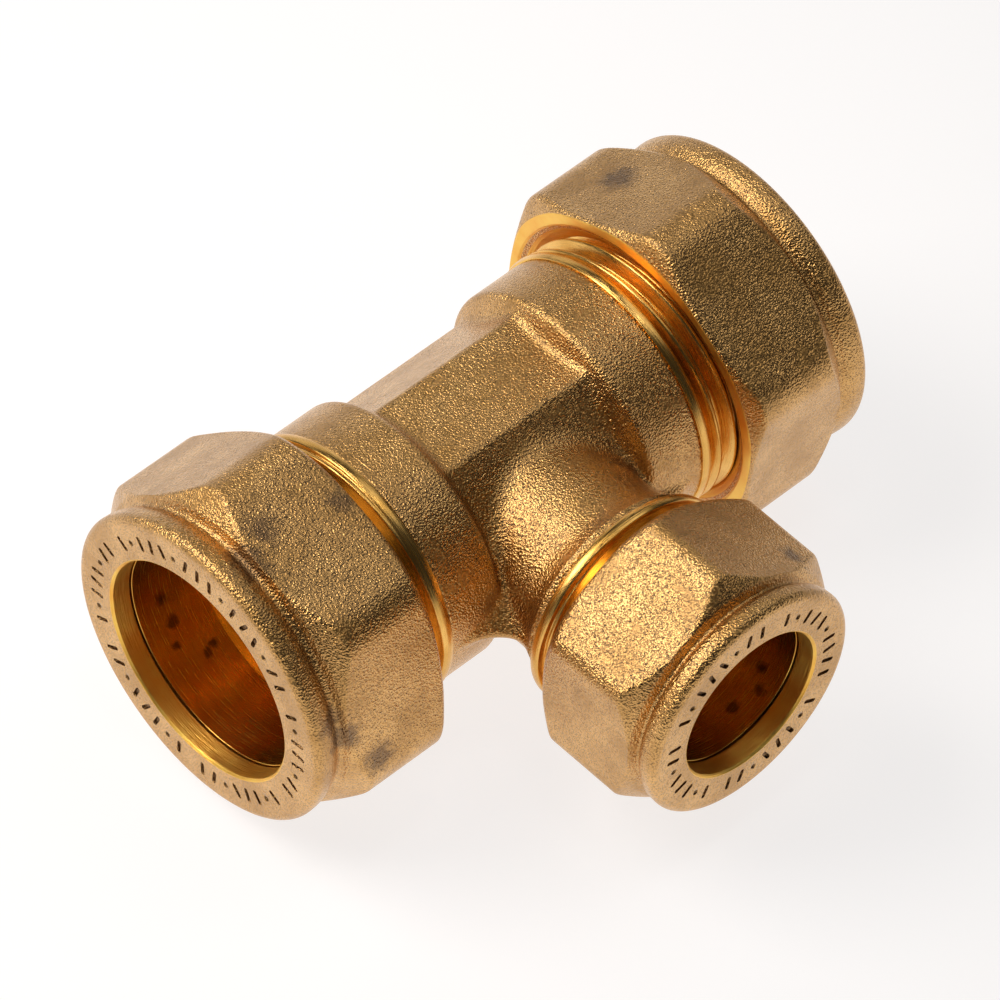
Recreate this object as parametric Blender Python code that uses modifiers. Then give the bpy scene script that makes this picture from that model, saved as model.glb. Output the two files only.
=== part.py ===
"""Brass compression reducing tee, 22 mm run and 15 mm branch, in seven separate pieces.

Frame: the origin is where the three pipe axes cross. The run lies along X, the branch
points to -Y and +Z is up. Each compression nut and its olive sit on an empty at the
origin whose local +Z is the pipe axis, pointing out of the fitting.
Lengths below are in millimetres along a pipe axis, measured from the crossing.
"""
import math

import bmesh
import bpy

MM = 0.001
ROUND = 48                        # sides of every turned surface
BODY_NAME = "reducing_tee"

# ---- driving dimensions, mm ------------------------------------------------------------
# 22 mm ends (both ends of the run): G3/4 thread, 31 mm nut
RUN = {
    "pipe_r": 11.0,               # the pipe that goes in
    "thread_r": 13.22,            # G3/4 major radius
    "shoulder_r": 13.34,          # machined band between the casting and the thread
    "shoulder_at": 15.1,          # where the casting ends and machining starts
    "waterway_r": 9.5,
    "stop_at": 14.0,              # pipe stop at the bottom of the socket
    "mouth_at": 26.2,             # open end of the threaded spigot
    "nut_back": 18.55,
    "nut_front": 33.3,
    "nut_flats": 31.35,           # across flats
    "nut_corner_round": 2.0,      # bevel width on the hexagon's corners
    "ring_r": 15.66,              # round flange at the front of the nut
    "ring_width": 3.9,
    "nut_face_r": 15.75,          # machined annulus at the back of the nut
    "nut_mouth_r": 14.75,         # outer edge of the chamfer that leads onto the thread
    "land": 2.1,                  # depth of the hole's front wall
}
# 15 mm end (the branch): G1/2 thread, 24 mm nut
BRANCH = {
    "pipe_r": 7.5,
    "thread_r": 10.48,            # G1/2 major radius
    "shoulder_r": 10.9,
    "shoulder_at": 18.4,
    "waterway_r": 6.5,
    "stop_at": 18.0,
    "mouth_at": 28.6,
    "nut_back": 21.05,
    "nut_front": 35.0,
    "nut_flats": 23.98,
    "nut_corner_round": 1.3,
    "ring_r": 11.89,
    "ring_width": 3.2,
    "nut_face_r": 12.15,
    "nut_mouth_r": 11.45,
    "land": 2.0,
}
# How far each nut has been turned: direction of a hexagon corner about the outward axis
NUT_TURN = {"left": 72.07, "right": 126.46, "branch": 30.73}    # degrees

SOCKET_PLAY = 0.12                # radial play of a pipe in its socket
HOLE_PLAY = 0.15                  # radial play of a pipe in the nut's hole
THREAD_PLAY = 0.3                 # radial play of the nut's bore on the plain thread
BAND_WIDTH = 1.2                  # plain machined band before the thread
THREAD_LEAD = 0.85                # chamfer at the start of the thread
SEAT_DEPTH = 3.6                  # cone in the body's mouth that the olive is pressed into
SEAT_SLOPE = math.tan(math.radians(13))
OLIVE_PLAY = 0.05                 # radial play of the pipe in its olive
OLIVE_WALL = 0.2                  # olive's thickness at its ends
OLIVE_SWELL = 0.95                # how much thicker it is at its middle
OLIVE_DEPTH = 2.5                 # how far it reaches into the mouth
OLIVE_BEVEL = 2.6                 # length of its outer bevel, which the nut's cone presses on
OLIVE_GAP = 0.2                   # between olive and nut

# Cast middle of the body
OCTAGON_R = 11.91                 # corner radius of the eight-sided middle
OCTAGON_HALF = 9.1
COLLAR_R = 13.05                  # round collars at both ends of the casting
COLLAR_AT = 9.3
COLLAR_FOOT_AT = 8.0              # the ramp up to a collar starts here
COLLAR_FOOT_R = 10.6
BRANCH_R = 8.96                   # cast stem of the branch
FLARE_AT = 13.8                   # it flares out to the machined band from here

BRASS_CAST = ("cast_brass", (0.46, 0.33, 0.17, 1.0), 0.42)
BRASS_NUT = ("forged_brass", (0.50, 0.37, 0.20, 1.0), 0.40)
BRASS_OLIVE = ("turned_brass", (0.75, 0.52, 0.22, 1.0), 0.25)


# ---- helpers ---------------------------------------------------------------------------
def clear_scene():
    for old in list(bpy.data.objects):
        bpy.data.objects.remove(old, do_unlink=True)


def new_collection(name):
    made = bpy.data.collections.new(name)
    bpy.context.scene.collection.children.link(made)
    return made


def brass(kind):
    name, colour, roughness = kind
    made = bpy.data.materials.new(name)
    made.use_nodes = True
    shader = made.node_tree.nodes["Principled BSDF"]
    shader.inputs["Base Color"].default_value = colour
    shader.inputs["Metallic"].default_value = 1.0
    shader.inputs["Roughness"].default_value = roughness
    made.diffuse_color = colour
    return made


def add_object(name, mesh, collection, parent=None, turn=0.0):
    made = bpy.data.objects.new(name, mesh)
    collection.objects.link(made)
    made.parent = parent
    made.rotation_euler.z = turn
    return made


def turned(name, outline, collection, parent=None, closed=False):
    """Solid of revolution about local Z. outline is a list of (distance, radius) in mm that
    starts at the outer end and runs down the outer side, as a lathe profile would."""
    shape = bmesh.new()
    points = [shape.verts.new((r * MM, 0.0, z * MM)) for z, r in outline]
    for a, b in zip(points, points[1:]):
        shape.edges.new((a, b))
    if closed:
        shape.edges.new((points[-1], points[0]))
    mesh = bpy.data.meshes.new(name)
    shape.to_mesh(mesh)
    shape.free()
    made = add_object(name, mesh, collection, parent)
    screw = made.modifiers.new("turn", "SCREW")
    screw.axis = "Z"
    screw.steps = ROUND
    screw.render_steps = ROUND
    screw.use_merge_vertices = True
    screw.merge_threshold = 0.00001
    return made


def prism(name, sides, corner_r, low, high, corner_round, collection, parent=None, turn=0.0):
    """Prism about local Z with a corner in the direction `turn`, its long edges rounded."""
    shape = bmesh.new()
    bmesh.ops.create_cone(shape, cap_ends=True, segments=sides, radius1=corner_r * MM,
                          radius2=corner_r * MM, depth=(high - low) * MM)
    bmesh.ops.translate(shape, verts=shape.verts, vec=(0.0, 0.0, (low + high) / 2 * MM))
    weight = shape.edges.layers.float.new("bevel_weight_edge")
    for edge in shape.edges:
        a, b = edge.verts
        edge[weight] = 1.0 if abs(a.co.z - b.co.z) > 1e-6 else 0.0
    first = max(shape.verts, key=lambda v: v.co.x)
    offset = math.atan2(first.co.y, first.co.x)
    mesh = bpy.data.meshes.new(name)
    shape.to_mesh(mesh)
    shape.free()
    made = add_object(name, mesh, collection, parent, turn - offset)
    bevel = made.modifiers.new("rounded corners", "BEVEL")
    bevel.limit_method = "WEIGHT"
    bevel.width = corner_round * MM
    bevel.segments = 3
    return made


def combine(made, operation, other):
    step = made.modifiers.new(operation.lower(), "BOOLEAN")
    step.operation = operation
    step.solver = "EXACT"
    step.object = other
    other.hide_render = True
    other.display_type = "WIRE"


def finish(made, material):
    """Smooth shading that keeps the machined edges sharp."""
    made.data.materials.append(material)
    made.data.shade_smooth()
    made.data.set_sharp_from_angle(angle=math.radians(35))


def axis_empty(name, collection, direction):
    """Empty at the crossing whose local +Z points out along one pipe."""
    made = bpy.data.objects.new(name, None)
    collection.objects.link(made)
    made.empty_display_size = 5 * MM
    quarter = math.pi / 2
    made.rotation_euler = {"-X": (0, -quarter, 0), "+X": (0, quarter, 0),
                           "-Y": (quarter, 0, 0)}[direction]
    return made


# ---- pieces ----------------------------------------------------------------------------
def both_ways(half):
    """Outline of the whole run from its +X half, which ends level with the crossing."""
    return half + [(-z, r) for z, r in reversed(half)]


def socket_outline(end):
    """Cone that seats the olive, pipe socket and pipe stop, from outside the mouth inwards."""
    socket_r = end["pipe_r"] + SOCKET_PLAY
    mouth = end["mouth_at"]
    beyond = mouth + 3.0
    mouth_r = socket_r + SEAT_DEPTH * SEAT_SLOPE
    return [(beyond, 0.0), (beyond, mouth_r), (mouth, mouth_r),
            (mouth - SEAT_DEPTH, socket_r), (end["stop_at"], socket_r),
            (end["stop_at"], end["waterway_r"])]


def spigot_outline(end):
    """Outer side of the machined, threaded spigot, from its mouth to the casting."""
    mouth = end["mouth_at"]
    thread_r = end["thread_r"]
    band_end = end["shoulder_at"] + BAND_WIDTH
    return [(mouth, 0.0), (mouth, thread_r - THREAD_LEAD), (mouth - THREAD_LEAD, thread_r),
            (band_end, thread_r), (band_end, end["shoulder_r"]),
            (end["shoulder_at"], end["shoulder_r"])]


def make_body(parts, cutters, ends):
    body = prism("tee_body", 8, OCTAGON_R, -OCTAGON_HALF, OCTAGON_HALF, 0.9, parts,
                 ends["right"], math.radians(22.5))
    run = both_ways(spigot_outline(RUN) + [
        (RUN["shoulder_at"], COLLAR_R), (COLLAR_AT, COLLAR_R),
        (COLLAR_FOOT_AT, COLLAR_FOOT_R)])
    combine(body, "UNION", turned("run_outside", run, cutters, ends["right"]))
    stem = spigot_outline(BRANCH) + [
        (BRANCH["shoulder_at"] - 0.4, BRANCH["shoulder_r"] - 0.45),
        ((BRANCH["shoulder_at"] + FLARE_AT) / 2, BRANCH_R + 0.45),
        (FLARE_AT, BRANCH_R), (0.5, BRANCH_R), (0.5, 0.0)]
    combine(body, "UNION", turned("branch_outside", stem, cutters, ends["branch"]))
    run_hole = both_ways(socket_outline(RUN))
    combine(body, "DIFFERENCE", turned("run_hole", run_hole, cutters, ends["right"]))
    branch_hole = socket_outline(BRANCH) + [(1.0, BRANCH["waterway_r"]), (1.0, 0.0)]
    combine(body, "DIFFERENCE", turned("branch_hole", branch_hole, cutters, ends["branch"]))
    return body


def nut_envelope(end):
    """Outer limits of a nut: back chamfer, hexagon zone, neck groove and round flange."""
    front, back, ring_r = end["nut_front"], end["nut_back"], end["ring_r"]
    flange = front - end["ring_width"]
    corner_r = end["nut_flats"] / math.sqrt(3)
    return [(front, 0.0), (front, ring_r - 0.95), (front - 0.35, ring_r - 0.35),
            (front - 1.1, ring_r), (front - 2.2, ring_r - 0.1),
            (flange + 0.75, ring_r - 0.75), (flange, ring_r - 0.55),
            (flange - 1.3, corner_r), (back + 1.5, corner_r),
            (back, end["nut_face_r"]), (back, 0.0)]


def nut_hole(end):
    """Pipe hole, olive seat, thread bore and lead-in chamfer, as one turned cutter."""
    front, back = end["nut_front"], end["nut_back"]
    hole_r = end["pipe_r"] + HOLE_PLAY
    bore_r = end["thread_r"] + THREAD_PLAY
    seat = front - end["land"]
    seat_r = hole_r + 0.25
    top_r = seat_r + OLIVE_SWELL + OLIVE_GAP
    top = seat - OLIVE_BEVEL
    return [(front + 1.0, 0.0), (front + 1.0, hole_r + 1.2), (front, hole_r + 0.2),
            (front - 0.2, hole_r), (seat, hole_r), (seat, seat_r), (top, top_r),
            (top - 0.5, bore_r), (back + 1.3, bore_r), (back, end["nut_mouth_r"]),
            (back - 1.0, end["nut_mouth_r"]), (back - 1.0, 0.0)]


def make_nut(name, end, turn, parts, cutters, parent):
    corner_r = end["nut_flats"] / math.sqrt(3)
    nut = prism(name, 6, corner_r, end["nut_back"] - 1.0, end["nut_front"] + 1.0,
                end["nut_corner_round"], parts, parent, math.radians(turn))
    combine(nut, "INTERSECT", turned(f"{name}_envelope", nut_envelope(end), cutters, parent))
    combine(nut, "DIFFERENCE", turned(f"{name}_hole", nut_hole(end), cutters, parent))
    return nut


def make_olive(name, end, parts, parent):
    """Barrel-shaped ring between the body's cone and the nut's cone."""
    inner_r = end["pipe_r"] + OLIVE_PLAY
    end_r = inner_r + OLIVE_WALL
    top_r = end_r + OLIVE_SWELL
    high = end["nut_front"] - end["land"] - OLIVE_GAP
    low = end["mouth_at"] - OLIVE_DEPTH
    outline = [(high, inner_r), (high, end_r), (high - OLIVE_BEVEL, top_r),
               (low + OLIVE_SWELL / SEAT_SLOPE, top_r), (low, end_r), (low, inner_r)]
    return turned(name, outline, parts, parent, closed=True)


def build():
    clear_scene()
    parts = new_collection(BODY_NAME)
    cutters = new_collection("cutters")
    cutters.hide_render = True
    ends = {"left": axis_empty("axis_left", parts, "-X"),
            "right": axis_empty("axis_right", parts, "+X"),
            "branch": axis_empty("axis_branch", parts, "-Y")}
    body = make_body(parts, cutters, ends)
    finish(body, brass(BRASS_CAST))
    for side, end in (("left", RUN), ("right", RUN), ("branch", BRANCH)):
        nut = make_nut(f"nut_{side}", end, NUT_TURN[side], parts, cutters, ends[side])
        finish(nut, brass(BRASS_NUT))
        olive = make_olive(f"olive_{side}", end, parts, ends[side])
        finish(olive, brass(BRASS_OLIVE))


build()
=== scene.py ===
"""Looks of the brass compression reducing tee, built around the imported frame.

Every piece is modelled in an end's own coordinates, where z runs out along the pipe axis from
the crossing, and is then laid on that end. Lengths in the profiles are in millimetres.
"""

import math

import bmesh
import bpy
import numpy as np
from mathutils import Matrix, Vector


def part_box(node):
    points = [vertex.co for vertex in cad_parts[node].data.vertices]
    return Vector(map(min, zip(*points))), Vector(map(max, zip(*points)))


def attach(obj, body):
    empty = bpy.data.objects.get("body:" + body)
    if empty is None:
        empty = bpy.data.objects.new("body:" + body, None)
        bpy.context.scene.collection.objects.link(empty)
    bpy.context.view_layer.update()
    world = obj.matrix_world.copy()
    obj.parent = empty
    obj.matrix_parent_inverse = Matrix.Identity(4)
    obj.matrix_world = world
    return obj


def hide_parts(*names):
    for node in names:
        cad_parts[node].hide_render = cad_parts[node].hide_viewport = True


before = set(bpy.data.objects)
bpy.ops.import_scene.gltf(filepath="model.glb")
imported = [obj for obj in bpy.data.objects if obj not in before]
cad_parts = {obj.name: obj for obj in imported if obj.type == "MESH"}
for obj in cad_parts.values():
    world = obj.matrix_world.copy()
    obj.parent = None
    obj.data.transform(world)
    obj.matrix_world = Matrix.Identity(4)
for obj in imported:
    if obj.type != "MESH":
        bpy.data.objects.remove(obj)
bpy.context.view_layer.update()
MM = 0.001

# ---- sizes, in mm ----------------------------------------------------------------------
OUTWARD = {"left": Vector((-1, 0, 0)), "right": Vector((1, 0, 0)), "branch": Vector((0, -1, 0))}
PITCH = 25.4 / 14                 # both threads have 14 turns to the inch
THREAD_DEPTH = 1.16
THREAD_PLAY = 0.12                # between a nut's thread and its spigot's, on the radius
HOLE_PLAY = 0.15                  # between the pipe and a nut's hole
SOCKET_PLAY = 0.12                # between the pipe and its socket

RUN = dict(
    pipe_r=11.0, thread_r=13.22, shoulder_r=13.34, shoulder_at=15.1, waterway_r=9.5,
    stop_at=14.0, flats=31.35, corner_round=4.15, ring_r=15.66, ring_width=3.9,
    nut_face_r=15.75, nut_mouth_r=14.7, land=2.1, seat_depth=3.6, olive_bevel=2.6,
)
BRANCH = dict(
    pipe_r=7.5, thread_r=10.48, shoulder_r=10.9, shoulder_at=18.4, waterway_r=6.5,
    stop_at=18.0, flats=23.98, corner_round=1.8, ring_r=11.89, ring_width=3.2,
    nut_face_r=12.1, nut_mouth_r=11.4, land=2.0, seat_depth=3.6, olive_bevel=2.6,
)
ENDS = {"left": RUN, "right": RUN, "branch": BRANCH}
# Direction of a hexagon corner, and of the thread's start, about each outward axis, in degrees
NUT_TURN = {"left": 72.07, "right": 126.46, "branch": 30.73}
THREAD_TURN = {"left": 328.0, "right": 77.0, "branch": 197.0}
BAND_WIDTH = 1.1                  # plain turned band between the casting and the thread
BAND_CROWN = 0.14                 # how much higher its middle is than its edges
COLLAR_R = 13.05
COLLAR_AT = 9.2                   # where the collars begin, from the crossing
OCTAGON_FLAT = 11.0               # half the distance across the eight-sided middle
OCTAGON_REACH = 10.0              # half its length, which ends inside the collars
STEM_R = 8.96
CASTING_OVERLAP = 0.1             # how far the casting reaches into the turned bands
RUN_SLEEVE_AT = 13.4              # where the run's bore widens for the spigots' sleeves
STEM_SLEEVE_AT = 17.4             # where the stem's bore does
NECK_SLOPE = 1.0                  # of the cone that cuts the hexagon's front corners

# Tarnish and drip spots on the nuts as (x, y, z, radius) in mm
STAINS = {
    "left": [(-27.1, -1.5, 16.0, 1.5), (-29.9, -3.2, 14.7, 1.7), (-30.1, -1.9, 14.9, 1.2),
             (-19.7, -3.3, 15.4, 1.1), (-30.0, -15.0, 2.2, 1.6), (-26.8, -16.5, -2.0, 1.5),
             (-31.0, -14.6, 4.6, 1.3)],
    "right": [(25.0, 8.5, 13.6, 1.6)], "branch": [(9.0, -30.0, 8.5, 1.0)]}
# Painted reflections: dark patches on the bores' walls, as (x, y, z, radius) in mm
PAINTED_BORE_REFLECTIONS = {
    "left": [(-28.3, 10.4, -3.8, 0.62), (-27.9, 9.2, -6.1, 0.72), (-28.6, 7.9, -7.7, 0.45),
             (-25.3, 6.6, -8.9, 0.5), (-26.3, 6.3, -9.1, 0.45)],
    "right": [],
    "branch": [(6.1, -30.3, -4.4, 0.5), (5.0, -31.3, -5.7, 0.55), (2.6, -30.4, -7.1, 0.6)]}


def along(node, side):
    """Nearest and furthest reach of a CAD node along an end's outward axis, in mm."""
    return sorted(OUTWARD[side].dot(corner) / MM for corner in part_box(node))


for side_name, sizes in ENDS.items():
    sizes["nut_back"], sizes["nut_front"] = along(f"nut_{side_name}", side_name)
    sizes["olive_low"], sizes["olive_high"] = along(f"olive_{side_name}", side_name)
    sizes["mouth"] = along("tee_body", side_name)[1]


def end_matrix(side):
    """Turns an end's coordinates into the frame's, as part.py's empties do."""
    quarter = math.pi / 2
    turn = {"left": (-quarter, "Y"), "right": (quarter, "Y"), "branch": (quarter, "X")}[side]
    return Matrix.Rotation(turn[0], 4, turn[1]) @ Matrix.Scale(MM, 4)


# ---- profiles --------------------------------------------------------------------------
ARC_STEP = math.radians(14)       # between the points of a rounded corner
STRAIGHT = 0.02                   # a turn this small, in radians, is not rounded
EDGE_SHARE = 0.48                 # of an edge that one rounded corner may use up


def rounded_path(points):
    """Dense closed path through (z, r, corner radius, spacing) points, corners as arcs."""
    path = []
    for i, (z, r, corner, _) in enumerate(points):
        here = np.array((z, r))
        before = np.array(points[i - 1][:2])
        after = np.array(points[(i + 1) % len(points)][:2])
        a = (before - here) / np.linalg.norm(before - here)
        b = (after - here) / np.linalg.norm(after - here)
        turn = math.pi - math.acos(max(-1.0, min(1.0, float(a @ b))))
        if corner <= 0 or turn < STRAIGHT:
            path.append([here])
            continue
        room = EDGE_SHARE * min(np.linalg.norm(before - here), np.linalg.norm(after - here))
        tangent = min(corner * math.tan(turn / 2), room)
        radius = tangent / math.tan(turn / 2)
        centre = here + (a + b) / np.linalg.norm(a + b) * math.hypot(radius, tangent)
        start, stop = here + a * tangent - centre, here + b * tangent - centre
        steps = max(2, math.ceil(turn / ARC_STEP))
        arc = []
        for k in range(steps + 1):
            w = k / steps
            mix = (math.sin((1 - w) * turn) * start + math.sin(w * turn) * stop) / math.sin(turn)
            arc.append(centre + mix)
        path.append(arc)
    dense = []
    for i, arc in enumerate(path):
        dense.extend(arc)
        end, start = arc[-1], path[(i + 1) % len(path)][0]
        pieces = max(1, math.ceil(np.linalg.norm(start - end) / points[i][3]))
        dense.extend(end + (start - end) * k / pieces for k in range(1, pieces))
    return np.array(dense)


def smooth_min(a, b, k):
    """The lesser of two values, blended where they differ by less than k."""
    h = np.clip(0.5 + 0.5 * (b - a) / k, 0.0, 1.0)
    return b * (1 - h) + a * h - k * h * (1 - h)


def smooth_max(a, b, k):
    return -smooth_min(-a, -b, k)


def smooth_step(x):
    """0 below 0, 1 above 1, and a soft rise between them."""
    x = np.clip(x, 0.0, 1.0)
    return x * x * (3 - 2 * x)


def hexagon_radius(angle, flats, corner_round):
    """Polar radius of a hexagon with rounded corners; angle 0 points at a corner."""
    off = np.abs((angle + math.pi / 6) % (math.pi / 3) - math.pi / 6)
    half = flats / 2
    flat = half / np.cos(math.pi / 6 - off)
    centre = (half - corner_round) / math.cos(math.pi / 6)
    inside = np.maximum(corner_round ** 2 - (centre * np.sin(off)) ** 2, 0.0)
    arc = centre * np.cos(off) + np.sqrt(inside)
    reach = math.pi / 6 - math.atan((half - corner_round) * math.tan(math.pi / 6) / half)
    return np.where(off < reach, arc, flat)


def thread_height(z, angle, start):
    """0 at a groove's bottom to 1 on a crest of a right-hand thread."""
    floor_share, flank_share = 0.1, 0.74    # of half a pitch; the crest has the rest
    floor_blend, crest_blend = 0.12, 0.1
    turn = z / PITCH - (angle - math.radians(start)) / (2 * math.pi)
    from_groove = np.abs(2 * (turn % 1.0) - 1)
    flank = (from_groove - floor_share) / flank_share
    return smooth_min(smooth_max(flank, 0.0, floor_blend), 1.0, crest_blend)


def added(name, mesh):
    """A new object of the scene with this mesh."""
    made = bpy.data.objects.new(name, mesh)
    bpy.context.scene.collection.objects.link(made)
    return made


def ring_mesh(name, z, r, side, second=None):
    """Closed ring from z and r of shape (profile points, angles), laid on an end.

    Rows of faces whose profile point is marked in second take the second material.
    """
    count, around = r.shape
    angle = np.linspace(0, 2 * math.pi, around, endpoint=False)
    points = np.stack((r * np.cos(angle), r * np.sin(angle), np.broadcast_to(z, r.shape)), -1)
    index = np.arange(count * around).reshape(count, around)
    right, below = np.roll(index, -1, 1), np.roll(index, -1, 0)
    both = np.roll(right, -1, 0)
    quads = np.stack((index, right, both, below), -1).reshape(-1, 4)
    mesh = bpy.data.meshes.new(name)
    mesh.from_pydata(points.reshape(-1, 3).tolist(), [], quads.tolist())
    mesh.transform(end_matrix(side))
    if second is not None:
        mesh.polygons.foreach_set("material_index", np.repeat(second.astype(np.int32), around))
    shape = bmesh.new()
    shape.from_mesh(mesh)
    if shape.calc_volume(signed=True) < 0:
        bmesh.ops.reverse_faces(shape, faces=shape.faces)
    shape.to_mesh(mesh)
    shape.free()
    mesh.shade_smooth()
    return added(name, mesh)


def keep_edges(made, degrees=72):
    """Shades creases steeper than this as sharp."""
    made.data.set_sharp_from_angle(angle=math.radians(degrees))


# ---- materials -------------------------------------------------------------------------
class Nodes:
    """Short way to write one material's node tree."""

    def __init__(self, name):
        self.material = bpy.data.materials.new(name)
        self.material.use_nodes = True
        self.tree = self.material.node_tree
        self.shader = self.tree.nodes["Principled BSDF"]
        self.place = self.tree.nodes.new("ShaderNodeTexCoord").outputs["Object"]

    def link(self, output, target):
        self.tree.links.new(output, target)

    def noise(self, scale, detail=3.0, roughness=0.5, place=None):
        node = self.tree.nodes.new("ShaderNodeTexNoise")
        node.inputs["Scale"].default_value = scale
        node.inputs["Detail"].default_value = detail
        node.inputs["Roughness"].default_value = roughness
        self.link(place or self.place, node.inputs["Vector"])
        return node.outputs["Fac"]

    def span(self, value, low, high, to_low, to_high):
        """A value carried from one range to another, and held at its ends."""
        node = self.tree.nodes.new("ShaderNodeMapRange")
        for key, number in (("From Min", low), ("From Max", high),
                            ("To Min", to_low), ("To Max", to_high)):
            node.inputs[key].default_value = number
        self.link(value, node.inputs["Value"])
        return node.outputs["Result"]

    def math(self, kind, a, b):
        node = self.tree.nodes.new("ShaderNodeMath")
        node.operation = kind
        for socket, value in zip(node.inputs, (a, b)):
            if isinstance(value, (int, float)):
                socket.default_value = value
            else:
                self.link(value, socket)
        return node.outputs[0]

    def mix(self, fac, a, b):
        node = self.tree.nodes.new("ShaderNodeMix")
        node.data_type = "RGBA"
        self.link(fac, node.inputs["Factor"])
        for key, value in (("A", a), ("B", b)):
            socket = [s for s in node.inputs if s.name == key and s.type == "RGBA"][0]
            if isinstance(value, tuple):
                socket.default_value = (*value, 1.0)
            else:
                self.link(value, socket)
        return [s for s in node.outputs if s.type == "RGBA"][0]

    def vector(self, kind, a, b):
        node = self.tree.nodes.new("ShaderNodeVectorMath")
        node.operation = kind
        for socket, value in zip(node.inputs, (a, b)):
            if isinstance(value, tuple):
                socket.default_value = value
            else:
                self.link(value, socket)
        return node.outputs["Value" if kind == "DISTANCE" else "Vector"]

    def dimples(self, scale):
        """Height of a shot-blasted surface: a small round pit in each cell."""
        cells = self.tree.nodes.new("ShaderNodeTexVoronoi")
        cells.inputs["Scale"].default_value = scale
        self.link(self.place, cells.inputs["Vector"])
        bowl = 1.6
        return self.math("POWER", cells.outputs["Distance"], bowl)

    def near(self, *spots):
        """1 inside small ragged patches round points (x, y, z, radius) in mm, 0 elsewhere."""
        wander = 0.42                       # of the edge, as a share of the radius
        ragged = self.span(self.noise(900, 3.0, 0.6), 0.3, 0.7, -wander, wander)
        total = None
        for x, y, z, radius in spots:
            away = self.vector("DISTANCE", self.place, (x * MM, y * MM, z * MM))
            away = self.math("ADD", self.math("DIVIDE", away, radius * MM), ragged)
            patch = self.span(away, 1.35, 0.5, 0.0, 1.0)    # fades between 0.5 and 1.35 radii
            total = patch if total is None else self.math("MAXIMUM", total, patch)
        return total

    def bump(self, height, distance, before=None):
        node = self.tree.nodes.new("ShaderNodeBump")
        node.inputs["Distance"].default_value = distance
        self.link(height, node.inputs["Height"])
        if before is not None:
            self.link(before, node.inputs["Normal"])
        return node.outputs["Normal"]

    def sockets(self, **values):
        """Sets or links the shader's sockets, named with _ for a space."""
        for key, value in values.items():
            socket = self.shader.inputs[key.replace("_", " ")]
            if isinstance(value, (int, float)):
                socket.default_value = value
            elif isinstance(value, tuple):
                socket.default_value = (*value, 1.0)
            else:
                self.link(value, socket)


def cast_brass(name, tint=(0.76, 0.435, 0.15), deep=(0.58, 0.31, 0.092), stains=()):
    """Hot-stamped, shot-blasted brass: sandy grain that sparkles, with painted shade darkening its
    pits.
    """
    n = Nodes(name)
    slow = n.noise(230, 3.0, 0.55)
    swell = n.noise(650, 2.0, 0.5)
    fine, finer = n.dimples(4400), n.dimples(6400)
    colour = n.mix(n.span(slow, 0.35, 0.68, 0.0, 1.0), tint, deep)
    # Painted shade: each pit of the grain is darkened towards its bottom
    colour = n.mix(n.span(fine, 0.26, 0.05, 0.0, 0.6), colour, tuple(c * 0.4 for c in deep))
    if stains:
        colour = n.mix(n.math("MULTIPLY", n.near(*stains), 0.66), colour, (0.085, 0.046, 0.03))
    normal = n.bump(swell, 0.00006)
    normal = n.bump(fine, 0.000066, normal)
    normal = n.bump(finer, 0.00004, normal)
    n.sockets(Base_Color=colour, Metallic=1.0, Roughness=n.span(slow, 0.3, 0.7, 0.22, 0.30),
              Normal=normal, Coat_Weight=0.25, Coat_Roughness=0.35)
    return n.material


def turned_brass(name, side, tint=(0.96, 0.62, 0.13), deep=(0.90, 0.46, 0.08), rough=(0.14, 0.3),
                 cut=0.000015, spots=()):
    """Machined brass: bright, with fine turning lines round the pipe axis.

    rough is the roughness of the smoothest and the coarsest line, cut the lines' depth in m.
    """
    n = Nodes(name)
    axis = n.tree.nodes.new("ShaderNodeMapping")
    across_lines, along_lines = 9000.0, 260.0
    stretch = [along_lines] * 3
    stretch[max(range(3), key=lambda k: abs(OUTWARD[side][k]))] = across_lines
    axis.inputs["Scale"].default_value = stretch
    n.link(n.place, axis.inputs["Vector"])
    lines = n.noise(1.0, 3.0, 0.6, place=axis.outputs["Vector"])
    slow = n.noise(330, 3.0, 0.5)
    colour = n.mix(n.span(slow, 0.35, 0.7, 0.0, 1.0), tint, deep)
    # Painted reflection: dark patches round the given points
    if spots:
        colour = n.mix(n.math("MULTIPLY", n.near(*spots), 0.75), colour, (0.09, 0.02, 0.004))
    n.sockets(Base_Color=colour, Metallic=1.0, Roughness=n.span(lines, 0.3, 0.7, *rough),
              Normal=n.bump(lines, cut))
    return n.material


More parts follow.
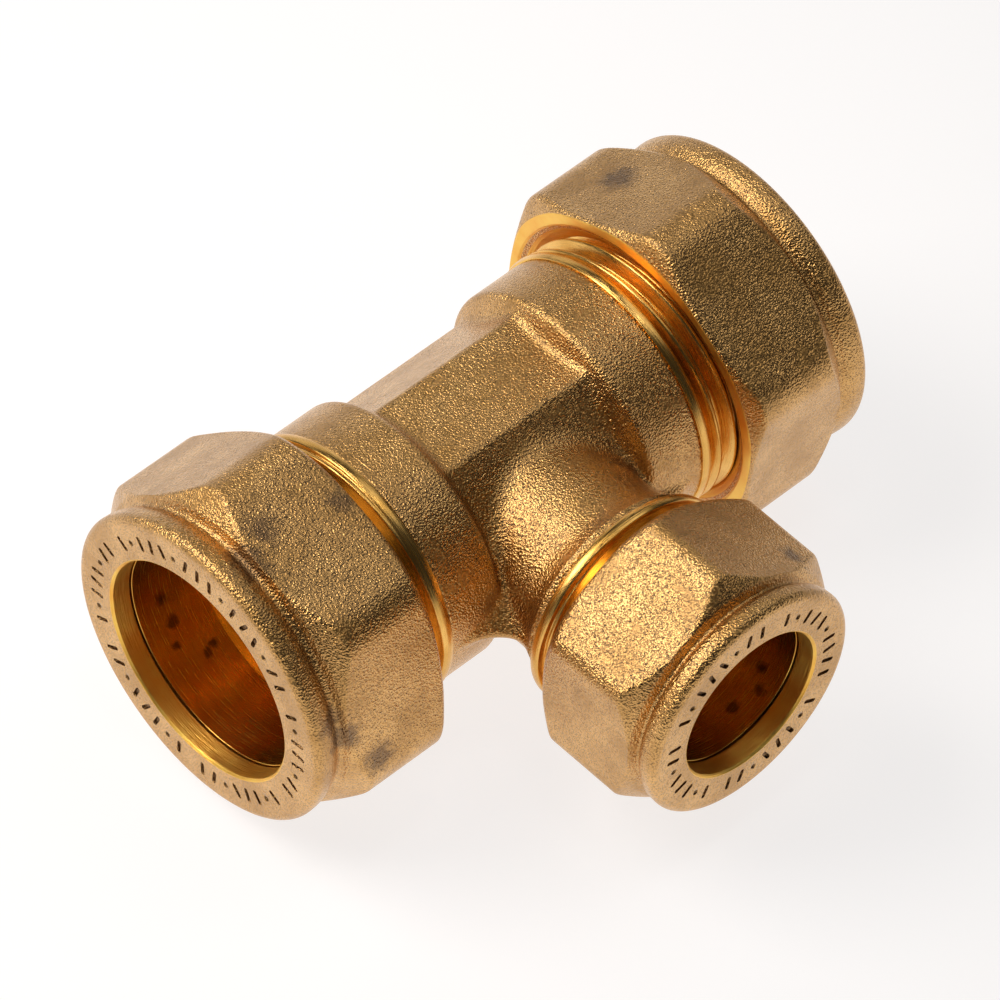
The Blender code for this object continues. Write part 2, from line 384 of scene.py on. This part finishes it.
# ---- nuts ------------------------------------------------------------------------------
def nut_outline(e):
    """The nut's section as two lists, outside from front to back and inside back again.

    The outside goes round at the hexagon's corners; its flats are cut into it afterwards.
    """
    front, back, ring_r = e["nut_front"], e["nut_back"], e["ring_r"]
    flange = front - e["ring_width"]
    hole_r = e["pipe_r"] + HOLE_PLAY
    flat_r, corner_r = e["flats"] / 2, e["flats"] / math.sqrt(3) + 0.5
    seat = front - e["land"]
    minor_r = e["thread_r"] - THREAD_DEPTH + THREAD_PLAY
    outside = [
        (front, hole_r + 0.2, 0.08, 0.5), (front, ring_r + 0.02, 0.8, 0.4),
        (front - 1.9, ring_r - 0.1, 2.0, 0.3), (flange + 0.75, ring_r - 0.95, 1.0, 0.2),
        (flange + 0.2, flat_r + 0.08, 0.4, 0.2),
        (flange + 0.2 - (corner_r - flat_r) / NECK_SLOPE, corner_r, 0.0, 0.2),
        (back + 1.45, corner_r, 0.5, 0.2),
        (back + 0.1, e["nut_face_r"] + 0.2, 0.15, 0.2), (back, e["nut_face_r"] - 0.1, 0.05, 0.4)]
    inside = [
        (back, e["nut_mouth_r"], 0.05, 0.13), (back + 1.5, minor_r, 0.0, 0.13),
        (seat - e["olive_bevel"] - 1.0, minor_r, 0.0, 0.2),
        (seat - e["olive_bevel"] - 0.9, e["thread_r"] + 0.2, 0.0, 0.5),
        (seat - e["olive_bevel"], e["thread_r"] + 0.2, 0.0, 0.4),
        (seat - e["olive_bevel"] + 0.1, hole_r + 1.4, 0.0, 0.3), (seat, hole_r + 0.25, 0.0, 0.3),
        (seat, hole_r, 0.05, 0.4), (front - 0.22, hole_r, 0.05, 0.2)]
    return outside, inside


def make_nut(side, around=256):
    """Forged nut: hexagon behind a round ring, machined back, thread and olive seat."""
    e = ENDS[side]
    outside, inside = nut_outline(e)
    path = rounded_path(outside + inside)
    z, r = path[:, :1], path[:, 1:]
    angle = np.linspace(0, 2 * math.pi, around, endpoint=False)[None, :]
    hexagon = hexagon_radius(angle - math.radians(NUT_TURN[side]), e["flats"], e["corner_round"])
    flange = e["nut_front"] - e["ring_width"]
    hexagon = hexagon + 1.5 * smooth_step((z - flange - 0.1) / 0.5)     # out of the ring's way
    blend = 0.2 + 0.7 * smooth_step((e["nut_back"] + 4.0 - z) / 3.0)    # softer to the back
    outer = smooth_min(np.broadcast_to(r, (len(r), around)), hexagon, blend)
    groove = THREAD_DEPTH * thread_height(z, angle, THREAD_TURN[side])
    minor_r = e["thread_r"] - THREAD_DEPTH + THREAD_PLAY
    threaded = (z < e["nut_front"] - e["land"] - e["olive_bevel"] - 0.95)
    inner = np.where(threaded, np.maximum(r, minor_r + groove), r)
    # Between the wall's inside and outside, and on the back face from the mouth's edge out
    split = e["thread_r"] + 0.35 * (e["nut_face_r"] - e["thread_r"])
    is_outer = r > np.where(z < e["nut_back"] + 0.06, e["nut_mouth_r"] + 0.02, split)
    is_outer |= z > e["nut_front"] - 0.001
    machined = ~is_outer[:, 0] | (z[:, 0] < e["nut_back"] + 0.09)
    return ring_mesh(f"nut_{side}_forged", z, np.where(is_outer, outer, inner), side, machined)


MARK_SPACING = 1.55
MARK_LEANS = (0, 16, 0, -16, 8, 0, 0, -8)     # degrees; a gap follows, then they repeat
MARK_DOTS = (2, 6)                # which of them are dots
MARK_LEVELS = ((0.3, 1.35), (-0.24, 0.75))    # height over the face, and growth there
FACE_ROUND = 0.7                  # of the face's outer edge, where no mark stands


def turned(u, v, angle):
    """A point of the plane, turned about the origin."""
    return (u * math.cos(angle) - v * math.sin(angle), u * math.sin(angle) + v * math.cos(angle))


def mark_outline(half, wide, arc_steps=6):
    """Outline of a stroke: two half circles of radius wide, half either side of its middle."""
    outline = []
    for end in (1, -1):
        for step in range(arc_steps + 1):
            b = math.pi * step / arc_steps + (0 if end > 0 else math.pi)
            outline.append((wide * math.cos(b), wide * math.sin(b) + end * half))
    return outline


def make_marks(side):
    """Small closed cutters for the ring of stamped strokes and dots on the nut's front face."""
    e = ENDS[side]
    hole_r = e["pipe_r"] + HOLE_PLAY
    middle = (hole_r + e["ring_r"] - FACE_ROUND) / 2
    tall = 0.30 * (e["ring_r"] - FACE_ROUND - hole_r)
    count = round(2 * math.pi * middle / MARK_SPACING)
    shape = bmesh.new()
    for k in range(count):
        kind = k % (len(MARK_LEANS) + 1)
        if kind == len(MARK_LEANS):
            continue
        a = 2 * math.pi * k / count
        half, wide = (0.01, 0.28) if kind in MARK_DOTS else (tall / 2, 0.22)
        lean = math.radians(MARK_LEANS[kind])
        rows = []
        for over, grow in MARK_LEVELS:
            row = []
            for u, v in mark_outline(half, wide):
                v += (grow - 1) * wide * math.copysign(1, v)
                u, v = turned(u * grow, v, lean)
                row.append(shape.verts.new((*turned(middle + v, u, a), e["nut_front"] + over)))
            rows.append(row)
        shape.faces.new(rows[0])
        shape.faces.new(rows[1][::-1])
        for i, top in enumerate(rows[0]):
            after = (i + 1) % len(rows[0])
            shape.faces.new((top, rows[1][i], rows[1][after], rows[0][after]))
    bmesh.ops.recalc_face_normals(shape, faces=shape.faces)
    mesh = bpy.data.meshes.new("marks")
    shape.to_mesh(mesh)
    shape.free()
    mesh.transform(end_matrix(side))
    return added("marks", mesh)


def cut_marks(nut, side, bottom):
    """Cuts the ring of marks into the nut, their floors in the given material, whose dark colour
    is partly tarnish and partly painted shade.
    """
    marks = make_marks(side)
    marks.data.materials.append(bottom)
    step = nut.modifiers.new("marks", "BOOLEAN")
    step.operation, step.solver, step.object = "DIFFERENCE", "MANIFOLD", marks
    step.material_mode = "TRANSFER"
    apply_modifiers(nut)
    bpy.data.objects.remove(marks, do_unlink=True)


# ---- body ------------------------------------------------------------------------------
def make_spigot(side, around=288):
    """Machined end of the body: band, thread, mouth, olive seat, socket and pipe stop."""
    e = ENDS[side]
    mouth, top = e["mouth"], e["thread_r"]
    chamfer, slack = 0.85, 0.01
    socket_r = e["pipe_r"] + SOCKET_PLAY
    band_end = e["shoulder_at"] + BAND_WIDTH
    seat_r = socket_r + e["seat_depth"] * math.tan(math.radians(13))
    buried_r = socket_r + 0.85              # the sleeve that stands inside the casting
    buried_at = e["stop_at"] - 1.0
    path = rounded_path([
        (mouth, seat_r, 0.03, 0.2), (mouth, top - chamfer, 0.05, 0.1),
        (mouth - chamfer, top, 0.0, 0.065),
        (e["shoulder_at"] + 0.02, top, 0.0, 0.065), (e["shoulder_at"], top - 0.2, 0.0, 0.3),
        (e["shoulder_at"], buried_r, 0.0, 0.6),
        (buried_at, buried_r, 0.0, 0.6), (buried_at, e["waterway_r"] - 0.04, 0.0, 0.6),
        (e["stop_at"], e["waterway_r"] - 0.04, 0.1, 0.5), (e["stop_at"], socket_r, 0.1, 0.6),
        (mouth - e["seat_depth"], socket_r, 0.0, 0.6)])
    z, r = path[:, :1], path[:, 1:]
    angle = np.linspace(0, 2 * math.pi, around, endpoint=False)[None, :]
    crown = BAND_CROWN * ((z - e["shoulder_at"]) / BAND_WIDTH * 2 - 1) ** 2
    run_out = smooth_step((z - band_end + 0.15) / 0.3)
    groove = THREAD_DEPTH * (1 - thread_height(z, angle, THREAD_TURN[side]))
    outline = (e["shoulder_r"] - crown) * (1 - run_out) + (top - groove) * run_out
    outside = (r > top - chamfer - slack) & (z > e["shoulder_at"] + slack)
    at_mouth = z > mouth - chamfer - slack
    threaded = np.where(outside, np.where(at_mouth, np.minimum(r, outline), outline), r)
    return ring_mesh(f"spigot_{side}", z, threaded, side, outside[:, 0])


def casting_distance(p):
    """Signed distance, in mm, to the hot-stamped part of the body, bores included."""
    x, y, z = np.abs(p[:, 0]), p[:, 1], p[:, 2]
    r = np.hypot(y, z)
    octagon = np.full(len(p), -1e9)
    for k in range(4):
        a = math.radians(45 * k)
        flat = np.abs(y * math.cos(a) + z * math.sin(a)) - OCTAGON_FLAT
        octagon = smooth_max(octagon, flat, 0.3)
    octagon = np.maximum(octagon, x - OCTAGON_REACH)
    lean, length = 0.55, 1.14               # of the collars' inner faces, and of that slope
    flank = (COLLAR_AT - (COLLAR_R - r) * lean - x) / length
    collar_end = x - RUN["shoulder_at"] - CASTING_OVERLAP
    collar = smooth_max(smooth_max(r - COLLAR_R, flank, 0.4), collar_end, 0.1)
    stem_r, out = np.hypot(p[:, 0], z), -y
    flare = 1.5 * smooth_step((out - 14.2) / 4.4) ** 2      # wider towards the branch's band
    stem_end = out - BRANCH["shoulder_at"] - CASTING_OVERLAP
    stem = np.maximum(smooth_max(stem_r - STEM_R - flare, stem_end, 0.1), -out)
    fillet = 1.15 + 5.2 * np.exp(-((z + 0.6) / 1.5) ** 2)   # widest at the stem's sides
    solid = smooth_min(smooth_min(octagon, collar, 0.7), stem, fillet)
    room = 0.75                             # beyond the pipe, for the spigots' sleeves
    run_bore = r - np.where(x < RUN_SLEEVE_AT, RUN["waterway_r"], RUN["pipe_r"] + room)
    stem_bore = stem_r - np.where(out < STEM_SLEEVE_AT, BRANCH["waterway_r"],
                                  BRANCH["pipe_r"] + room)
    stem_bore = np.maximum(stem_bore, -out - 1.0)
    return smooth_max(solid, -smooth_min(run_bore, stem_bore, 0.2), 0.15)


def tube(name, radius, low, high, direction, sides=64):
    """Plain cylinder along one axis, only used to start the casting's mesh."""
    shape = bmesh.new()
    bmesh.ops.create_cone(shape, cap_ends=True, segments=sides, radius1=radius, radius2=radius,
                          depth=high - low)
    bmesh.ops.translate(shape, verts=shape.verts, vec=(0, 0, (low + high) / 2))
    mesh = bpy.data.meshes.new(name)
    shape.to_mesh(mesh)
    shape.free()
    mesh.transform(Vector((0, 0, 1)).rotation_difference(direction).to_matrix().to_4x4())
    return added(name, mesh)


def apply_modifiers(made):
    """Gives the object the mesh that its modifiers make of it."""
    result = made.evaluated_get(bpy.context.evaluated_depsgraph_get())
    done = bpy.data.meshes.new_from_object(result)
    made.modifiers.clear()
    made.data = done


def draw_onto_surface(mesh, steps=10, nudge=0.02):
    """Moves a mesh's points onto the casting's surface, down the distance's slope."""
    flattest, furthest = 0.2, 0.4           # limits on the slope's square and on a step
    points = np.empty(len(mesh.vertices) * 3)
    mesh.vertices.foreach_get("co", points)
    points = points.reshape(-1, 3)
    for _ in range(steps):
        value = casting_distance(points)
        slope = np.stack([casting_distance(points + nudge * axis)
                          - casting_distance(points - nudge * axis)
                          for axis in np.eye(3)], -1) / (2 * nudge)
        size = np.maximum((slope ** 2).sum(1), flattest)
        points -= slope * np.clip(value / size, -furthest, furthest)[:, None]
    mesh.vertices.foreach_set("co", points.ravel())


def make_casting(voxel=0.27):
    """Rough union of tubes, remeshed evenly and drawn onto the true surface, twice over."""
    run, branch = OUTWARD["right"], OUTWARD["branch"]
    collar_end = RUN["shoulder_at"] + CASTING_OVERLAP
    stem_end = BRANCH["shoulder_at"] + CASTING_OVERLAP
    made = tube("tee_casting", 11.5, -15.0, 15.0, run)
    steps = [("UNION", (13.0, 8.5, collar_end, run)), ("UNION", (13.0, 8.5, collar_end, -run)),
             ("UNION", (9.2, 0.0, stem_end, branch)), ("DIFFERENCE", (9.5, -20.0, 20.0, run)),
             ("DIFFERENCE", (11.75, RUN_SLEEVE_AT, 20.0, run)),
             ("DIFFERENCE", (11.75, RUN_SLEEVE_AT, 20.0, -run)),
             ("DIFFERENCE", (6.5, 0.3, 22.0, branch)),
             ("DIFFERENCE", (8.25, STEM_SLEEVE_AT, 22.0, branch))]
    tools = [tube(f"tool_{i}", *tool) for i, (_, tool) in enumerate(steps)]
    for (kind, _), tool in zip(steps, tools):
        step = made.modifiers.new(kind, "BOOLEAN")
        step.operation, step.solver, step.object = kind, "EXACT", tool
    for _ in range(2):
        remesh = made.modifiers.new("even", "REMESH")
        remesh.mode, remesh.voxel_size = "VOXEL", voxel
        apply_modifiers(made)
        draw_onto_surface(made.data)
    for tool in tools:
        bpy.data.objects.remove(tool, do_unlink=True)
    made.data.transform(Matrix.Scale(MM, 4))
    made.data.shade_smooth()
    return made


# ---- olives ----------------------------------------------------------------------------
def make_olive(side, around=160):
    """Ring with a short bevel under the nut and a long one towards the olive seat."""
    e = ENDS[side]
    low, high, inner_r = e["olive_low"], e["olive_high"], e["pipe_r"] + 0.05
    end_r = inner_r + 0.2
    top_r = end_r + 0.95
    nut_bevel, seat_bevel = 2.6, 4.11
    path = rounded_path([
        (high, inner_r, 0.06, 0.3), (high, end_r, 0.08, 0.4),
        (high - nut_bevel, top_r, 0.8, 0.4), (low + seat_bevel, top_r, 0.8, 0.4),
        (low, end_r, 0.06, 0.3), (low, inner_r, 0.06, 0.5)])
    z, r = path[:, :1], path[:, 1:]
    return ring_mesh(f"olive_{side}_turned", z, np.repeat(r, around, 1), side)


# ---- build -----------------------------------------------------------------------------
def build():
    """Every visible piece, with its materials, laid over the CAD node that it stands for."""
    casting = make_casting()
    casting.data.materials.append(cast_brass("cast_brass_look"))
    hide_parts("tee_body")
    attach(casting, "tee_body")
    # Dark floors of the stamped marks: partly tarnish, partly painted shade in the recesses
    stamped = cast_brass("mark_floors_tarnish_and_shade", (0.34, 0.19, 0.075), (0.22, 0.115, 0.04))
    for side in ENDS:
        # The bores' brass, with painted dark reflections at the listed points
        bore = turned_brass(f"turned_brass_{side}", side, spots=PAINTED_BORE_REFLECTIONS[side])
        cut = turned_brass(f"cut_brass_{side}", side, rough=(0.32, 0.5), cut=0.00006)
        thread = turned_brass(f"threaded_brass_{side}", side, (0.9, 0.53, 0.15), (0.7, 0.37, 0.08),
                              rough=(0.19, 0.32), cut=0.00003)
        spigot = make_spigot(side)
        keep_edges(spigot)
        spigot.data.materials.append(bore)
        spigot.data.materials.append(thread)
        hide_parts("tee_body")
        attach(spigot, "tee_body")
        nut = make_nut(side)
        nut.data.materials.append(cast_brass(f"forged_brass_{side}", stains=STAINS[side]))
        nut.data.materials.append(cut)
        cut_marks(nut, side, stamped)
        keep_edges(nut)
        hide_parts(f"nut_{side}")
        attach(nut, f"nut_{side}")
        olive = make_olive(side)
        keep_edges(olive)
        olive.data.materials.append(bore)
        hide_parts(f"olive_{side}")
        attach(olive, f"olive_{side}")


def area_light(name, direction, distance, size, power, colour=(1, 1, 1)):
    """Rectangle of light, metres away in a direction, that faces the crossing."""
    data = bpy.data.lights.new(name, "AREA")
    data.shape = "RECTANGLE"
    data.size, data.size_y = size
    data.energy = power
    data.color = colour
    made = added(name, data)
    made.location = Vector(direction).normalized() * distance
    made.rotation_euler = made.location.to_track_quat("Z", "Y").to_euler()


def studio():
    """Pale floor that glows a little round the piece, a dim room and six lights."""
    low = min(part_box(n)[0].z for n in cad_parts)
    half, gap = 3.0, 0.0001
    mesh = bpy.data.meshes.new("floor")
    corners = [(-half, -half, 0), (half, -half, 0), (half, half, 0), (-half, half, 0)]
    mesh.from_pydata(corners, [], [(0, 1, 2, 3)])
    floor = added("floor", mesh)
    floor.location.z = low - gap
    n = Nodes("paper_with_painted_glow")
    from_middle = n.vector("DISTANCE", n.place, (-0.02, 0.03, 0.0))
    # Painted pool of light: the floor glows at 0.8 near the piece, falling to 0.4 by 0.4 m out
    n.sockets(Base_Color=n.mix(n.noise(3.0), (0.32, 0.31, 0.305), (0.28, 0.27, 0.265)),
              Roughness=0.9, Emission_Color=(1.0, 0.985, 0.98),
              Emission_Strength=n.span(from_middle, 0.05, 0.4, 0.8, 0.4))
    mesh.materials.append(n.material)
    world = bpy.data.worlds.new("room")
    world.use_nodes = True
    back = world.node_tree.nodes["Background"]
    back.inputs["Color"].default_value = (1.0, 0.98, 0.96, 1.0)
    back.inputs["Strength"].default_value = 0.03
    bpy.context.scene.world = world
    area_light("key", (-0.47, 0.45, 0.76), 0.6, (0.38, 0.38), 2.75, (1.0, 0.97, 0.93))
    area_light("ridge", (-0.05, -0.12, 0.99), 0.7, (0.12, 0.12), 0.26)
    area_light("overhead", (0.45, -0.05, 0.89), 1.0, (0.7, 0.7), 1.5)
    area_light("back_card", (0.45, 0.87, 0.25), 1.5, (1.3, 0.7), 2.1, (1.0, 0.98, 0.96))
    area_light("left_card", (-0.97, 0.25, 0.05), 1.5, (0.9, 0.7), 0.7, (1.0, 0.98, 0.96))
    area_light("right_card", (0.89, 0.45, 0.15), 1.5, (0.7, 0.6), 0.9, (1.0, 0.98, 0.96))


def camera():
    """Looks down on the branch's left side from 0.89 m, with a long lens."""
    azimuth, elevation, roll = (math.radians(a) for a in (-44.83, 50.67, 2.19))
    distance, right_shift, down_shift = 0.8902, 0.002075, 0.00234
    back = Vector((math.sin(azimuth) * math.cos(elevation),
                   -math.cos(azimuth) * math.cos(elevation), math.sin(elevation)))
    side = Vector((0, 0, 1)).cross(back).normalized()
    up = back.cross(side)
    x = side * math.cos(roll) + up * math.sin(roll)
    y = up * math.cos(roll) - side * math.sin(roll)
    data = bpy.data.cameras.new("camera")
    data.lens = 362.4
    data.sensor_width = 36.0
    data.clip_start = 0.05
    made = added("camera", data)
    aim = x * right_shift - y * down_shift
    made.matrix_world = Matrix((x, y, back)).transposed().to_4x4()
    made.location = aim + back * distance
    bpy.context.scene.camera = made


build()
studio()
camera()
bpy.context.scene.view_settings.view_transform = "Standard"
